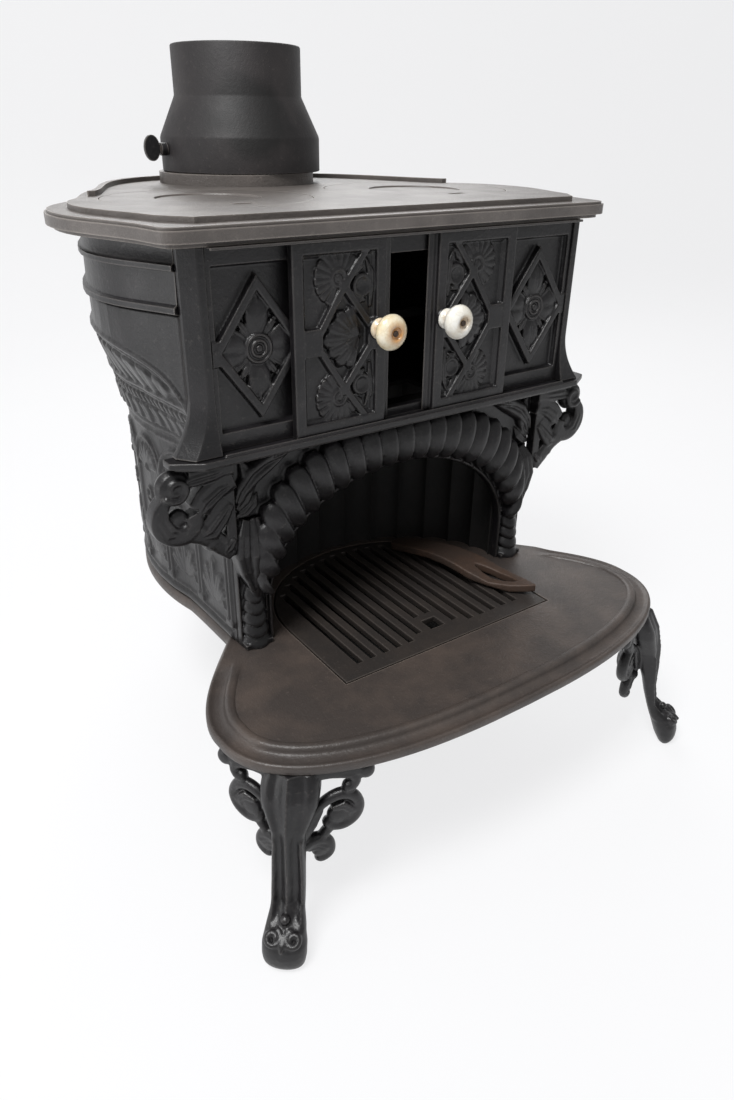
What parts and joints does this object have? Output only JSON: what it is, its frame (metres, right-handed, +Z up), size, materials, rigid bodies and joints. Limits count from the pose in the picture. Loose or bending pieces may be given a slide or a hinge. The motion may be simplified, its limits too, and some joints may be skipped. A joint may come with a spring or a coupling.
{
  "type": "parlour cook stove",
  "caption": "Small cast-iron cook stove: open arched hearth with a round-cornered apron, sliding doors above, a flat lidded cooking top and a flue bonnet with a damper at the back",
  "frame": {"origin": "on the floor under the centre of the whole stove's bounding box", "axes": "+X to the stove's right seen from the front, +Y to the back, +Z up"},
  "size_m": [0.4782, 0.5514, 0.619],
  "materials": {
    "black_iron": "black-leaded casting, dull sheen",
    "hearth_iron": "worn casting, dusty",
    "top_iron": "worn bright grey casting",
    "rusty_iron": "light rust",
    "rusty_steel": "rusted",
    "porcelain": "glazed, slightly yellowed"
  },
  "bodies": {
    "stove": {"hearth_plate": "hearth_iron", "ash_well": "black_iron", "front_leg_left": "black_iron", "front_leg_right": "black_iron", "rear_leg": "black_iron", "leg_bolts": "rusty_steel", "arch_front": "black_iron", "column_left": "black_iron", "column_right": "black_iron", "bracket_left": "black_iron", "bracket_right": "black_iron", "side_left": "black_iron", "side_right": "black_iron", "lower_back": "black_iron", "fireback": "black_iron", "smoke_shelf": "black_iron", "ledge": "black_iron", "corner_post_left": "black_iron", "corner_post_right": "black_iron", "front_panel_left": "black_iron", "front_panel_right": "black_iron", "lintel": "black_iron", "door_rail": "black_iron", "jacket_left": "black_iron", "jacket_right": "black_iron", "upper_back": "black_iron", "chamber_bar": "black_iron", "top_plate": "top_iron"},
    "grate_body": {"grate": "hearth_iron"},
    "lifter_body": {"lid_lifter": "rusty_iron"},
    "door_left_body": {"door_left": "black_iron", "knob_left": "porcelain", "knob_screw_left": "rusty_steel"},
    "door_right_body": {"door_right": "black_iron", "knob_right": "porcelain", "knob_screw_right": "rusty_steel"},
    "lid_left_body": {"lid_left": "top_iron"},
    "lid_right_body": {"lid_right": "top_iron"},
    "bonnet_body": {"flue_bonnet": "black_iron"},
    "damper_body": {"damper_plate": "black_iron", "damper_spindle": "black_iron", "damper_key": "black_iron"}
  },
  "joints": [
    {"name": "door_left_slide", "type": "slide", "parent": "stove", "child": "door_left_body", "axis": [-1, 0, 0], "range_m": [-0.024, 0.056]},
    {"name": "door_right_slide", "type": "slide", "parent": "stove", "child": "door_right_body", "axis": [1, 0, 0], "range_m": [-0.011, 0.069]},
    {"name": "grate_lift", "type": "slide", "parent": "stove", "child": "grate_body", "axis": [0, 0, 1], "range_m": [0, 0.04]},
    {"name": "lifter_lift", "type": "slide", "parent": "grate_body", "child": "lifter_body", "axis": [0, 0, 1], "range_m": [0, 0.03]},
    {"name": "lid_left_lift", "type": "slide", "parent": "stove", "child": "lid_left_body", "axis": [0, 0, 1], "range_m": [0, 0.06]},
    {"name": "lid_right_lift", "type": "slide", "parent": "stove", "child": "lid_right_body", "axis": [0, 0, 1], "range_m": [0, 0.06]},
    {"name": "bonnet_lift", "type": "slide", "parent": "stove", "child": "bonnet_body", "axis": [0, 0, 1], "range_m": [0, 0.08]},
    {"name": "damper_turn", "type": "hinge", "parent": "bonnet_body", "child": "damper_body", "pos_m": [0.006, 0.18772, 0.5328], "axis": [1, 0, 0], "range_deg": [0, 90]}
  ]
}
